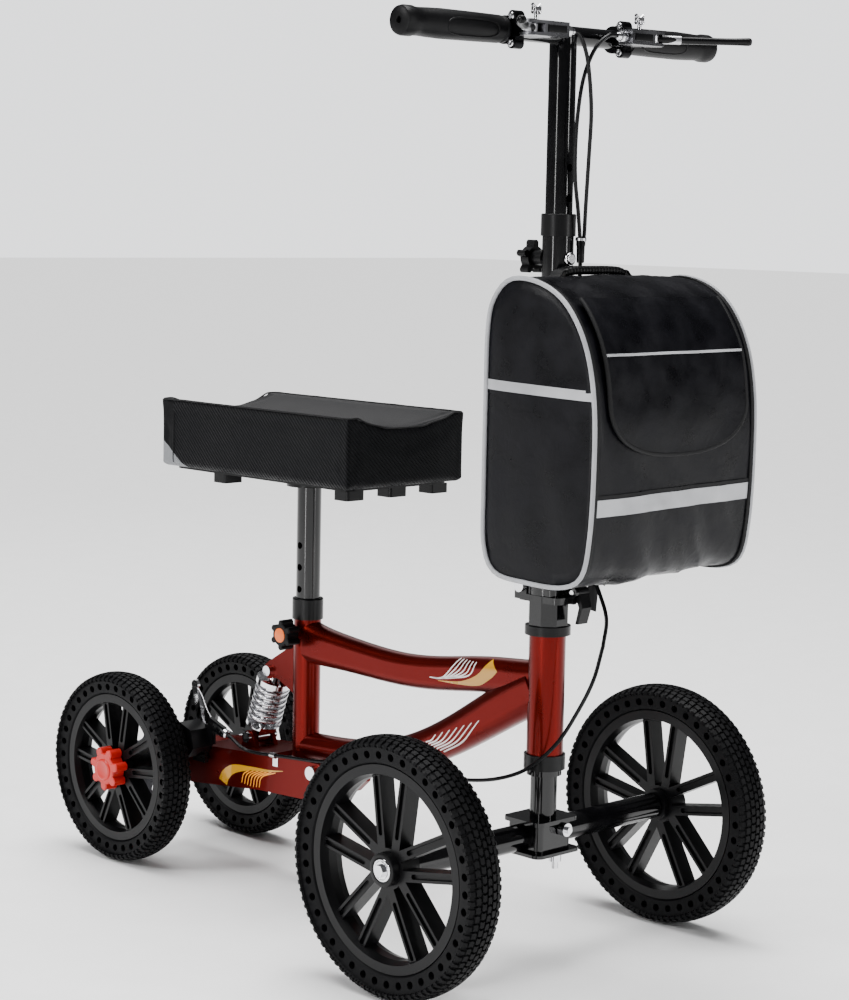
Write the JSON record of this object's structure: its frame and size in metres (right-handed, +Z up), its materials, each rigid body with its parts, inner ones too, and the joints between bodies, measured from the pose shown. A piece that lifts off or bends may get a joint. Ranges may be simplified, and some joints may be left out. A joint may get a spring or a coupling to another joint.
{
  "type": "knee scooter",
  "caption": "Steerable knee scooter with a folding stem, padded knee saddle, sprung rear arm, disc brake, solid honeycomb tyres and a handlebar bag.",
  "frame": {"origin": "on the ground, under the middle of the scooter's overall length and width", "axes": "+Z up; -Y is forward, so the steered wheels are at -Y; -X is the rider's right"},
  "size_m": [0.526, 1.01, 1.1245],
  "materials": {
    "frame_red": "candy red gloss paint",
    "black_paint": "gloss black paint",
    "satin_black": "satin black",
    "rubber": "matt tread rubber",
    "rim_plastic": "moulded nylon, fine grain",
    "black_plastic": "moulded",
    "red_plastic": "moulded",
    "grip_rubber": "soft grip",
    "steel": "plated",
    "bearing_steel": "ground",
    "cast_alloy": "polished casting",
    "disc_steel": "blackened",
    "spring_steel": "plated wire",
    "bag_nylon": "coated woven nylon",
    "saddle_cover": "coated woven fabric over foam",
    "cable_jacket": "PVC outer"
  },
  "bodies": {
    "frame": {"head_tube": "frame_red", "headset_cups": "satin_black", "upper_frame_tube": "frame_red", "lower_frame_tube": "frame_red", "seat_tube": "frame_red", "seat_collar": "black_plastic", "frame_bolts": "steel", "steer_cable": "cable_jacket"},
    "seat_knob": {"seat_knob": "black_plastic"},
    "saddle": {"seat_post": "black_paint", "saddle_plate": "satin_black", "saddle_cushion": "saddle_cover"},
    "swingarm": {"swingarm": "frame_red", "rear_axle": "satin_black", "swingarm_bolts": "steel", "brake_caliper": "satin_black", "rear_cable": "cable_jacket"},
    "caliper_arm": {"caliper_arm": "cast_alloy"},
    "shock_upper": {"shock_body": "cast_alloy", "shock_spring": "spring_steel"},
    "shock_lower": {"shock_rod": "cast_alloy"},
    "rear_wheel_right": {"rear_tyre_right": "rubber", "rear_rim_right": "rim_plastic", "rear_bearings_right": "bearing_steel", "brake_disc": "disc_steel"},
    "rear_wheel_left": {"rear_tyre_left": "rubber", "rear_rim_left": "rim_plastic", "rear_bearings_left": "bearing_steel"},
    "rear_knob_right": {"rear_knob_right": "red_plastic"},
    "rear_knob_left": {"rear_knob_left": "red_plastic"},
    "steering": {"steering_column": "black_paint", "hinge_base": "black_paint", "front_axle": "black_paint", "front_spindles": "steel", "steering_bolts": "steel"},
    "latch_lever": {"latch_lever": "satin_black"},
    "front_wheel_right": {"front_tyre_right": "rubber", "front_rim_right": "rim_plastic", "front_bearings_right": "bearing_steel"},
    "front_wheel_left": {"front_tyre_left": "rubber", "front_rim_left": "rim_plastic", "front_bearings_left": "bearing_steel"},
    "stem": {"hinge_top": "black_paint", "stem_tube": "black_paint", "stem_collar": "black_plastic", "stem_bolt": "steel", "cable_joiner": "black_plastic", "fold_cable": "cable_jacket", "bag": "bag_nylon"},
    "bag_flap": {"bag_flap": "bag_nylon"},
    "stem_knob": {"stem_knob": "black_plastic"},
    "handlebar": {"stem_upper_tube": "black_paint", "handlebar": "black_paint", "grips": "grip_rubber", "lever_perches": "cast_alloy", "upper_cables": "cable_jacket"},
    "brake_lever_right": {"brake_lever_right": "satin_black"},
    "brake_lever_left": {"brake_lever_left": "satin_black"},
    "lock_pin_right": {"lock_pin_right": "steel"},
    "lock_pin_left": {"lock_pin_left": "steel"}
  },
  "joints": [
    {"name": "steering_turn", "type": "hinge", "parent": "frame", "child": "steering", "pos_m": [0, -0.3085, 0.3], "axis": [0, 0, 1], "range_deg": [-35, 35], "deforming": ["steer_cable"]},
    {"name": "front_wheel_right_spin", "type": "hinge", "parent": "steering", "child": "front_wheel_right", "pos_m": [-0.2355, -0.299, 0.1524], "axis": [1, 0, 0], "continuous": true},
    {"name": "front_wheel_left_spin", "type": "hinge", "parent": "steering", "child": "front_wheel_left", "pos_m": [0.2355, -0.299, 0.1524], "axis": [1, 0, 0], "continuous": true},
    {"name": "latch_open", "type": "hinge", "parent": "steering", "child": "latch_lever", "pos_m": [0, -0.3465, 0.452], "axis": [-1, 0, 0], "range_deg": [0, 80]},
    {"name": "stem_fold", "type": "hinge", "parent": "steering", "child": "stem", "pos_m": [0, -0.283, 0.455], "axis": [-1, 0, 0], "range_deg": [0, 48], "deforming": ["fold_cable"]},
    {"name": "bag_flap_open", "type": "hinge", "parent": "stem", "child": "bag_flap", "pos_m": [0, -0.4595, 0.7975], "axis": [-1, 0, 0], "range_deg": [0, 110]},
    {"name": "stem_knob_turn", "type": "hinge", "parent": "stem", "child": "stem_knob", "pos_m": [0, -0.2785, 0.843], "axis": [0, 1, 0], "continuous": true},
    {"name": "handlebar_height", "type": "slide", "parent": "stem", "child": "handlebar", "axis": [0, 0, 1], "range_m": [-0.07, 0.035], "deforming": ["upper_cables"]},
    {"name": "brake_lever_right_pull", "type": "hinge", "parent": "handlebar", "child": "brake_lever_right", "pos_m": [-0.104, -0.3545, 1.1], "axis": [0, 0, -1], "range_deg": [0, 25], "stiffness_Nm_per_rad": 1, "springref_deg": -5.73},
    {"name": "brake_lever_left_pull", "type": "hinge", "parent": "handlebar", "child": "brake_lever_left", "pos_m": [0.104, -0.3545, 1.1], "axis": [0, 0, 1], "range_deg": [0, 25], "stiffness_Nm_per_rad": 1, "springref_deg": -5.73},
    {"name": "lock_pin_right_press", "type": "slide", "parent": "handlebar", "child": "lock_pin_right", "axis": [0, 0, -1], "range_m": [0, 0.006], "stiffness_N_per_m": 300, "springref_m": -0.003},
    {"name": "lock_pin_left_press", "type": "slide", "parent": "handlebar", "child": "lock_pin_left", "axis": [0, 0, -1], "range_m": [0, 0.006], "stiffness_N_per_m": 300, "springref_m": -0.003},
    {"name": "suspension", "type": "hinge", "parent": "frame", "child": "swingarm", "pos_m": [0, 0.056, 0.168], "axis": [1, 0, 0], "range_deg": [0, 5], "stiffness_Nm_per_rad": 1400, "springref_deg": -2.01, "deforming": ["rear_cable"]},
    {"name": "shock_turn", "type": "hinge", "parent": "frame", "child": "shock_upper", "pos_m": [0, 0.183, 0.28], "axis": [1, 0, 0], "range_deg": [0, 1.85]},
    {"name": "shock_stroke", "type": "slide", "parent": "shock_upper", "child": "shock_lower", "axis": [0, -0.3338, 0.9426], "range_m": [0, 0.0141], "deforming": ["shock_spring"]},
    {"name": "rear_wheel_right_spin", "type": "hinge", "parent": "swingarm", "child": "rear_wheel_right", "pos_m": [-0.1135, 0.375, 0.13], "axis": [1, 0, 0], "continuous": true},
    {"name": "rear_wheel_left_spin", "type": "hinge", "parent": "swingarm", "child": "rear_wheel_left", "pos_m": [0.1135, 0.375, 0.13], "axis": [1, 0, 0], "continuous": true},
    {"name": "rear_knob_right_turn", "type": "hinge", "parent": "swingarm", "child": "rear_knob_right", "pos_m": [-0.13, 0.375, 0.13], "axis": [1, 0, 0], "continuous": true},
    {"name": "rear_knob_left_turn", "type": "hinge", "parent": "swingarm", "child": "rear_knob_left", "pos_m": [0.13, 0.375, 0.13], "axis": [1, 0, 0], "continuous": true},
    {"name": "caliper_arm_pull", "type": "hinge", "parent": "swingarm", "child": "caliper_arm", "pos_m": [-0.046, 0.282, 0.178], "axis": [1, 0, 0], "range_deg": [0, 20]},
    {"name": "saddle_height", "type": "slide", "parent": "frame", "child": "saddle", "axis": [0, 0, -1], "range_m": [-0.029, 0.087]},
    {"name": "seat_knob_turn", "type": "hinge", "parent": "frame", "child": "seat_knob", "pos_m": [-0.03, 0.1226, 0.34], "axis": [1, 0, 0], "continuous": true}
  ],
  "couplings": [
    {"joint": "shock_turn", "follows": "suspension", "ratio": 0.36086},
    {"joint": "shock_stroke", "follows": "suspension", "m_per_rad": 0.15809},
    {"joint": "caliper_arm_pull", "follows": "brake_lever_right_pull", "ratio": 0.8}
  ]
}
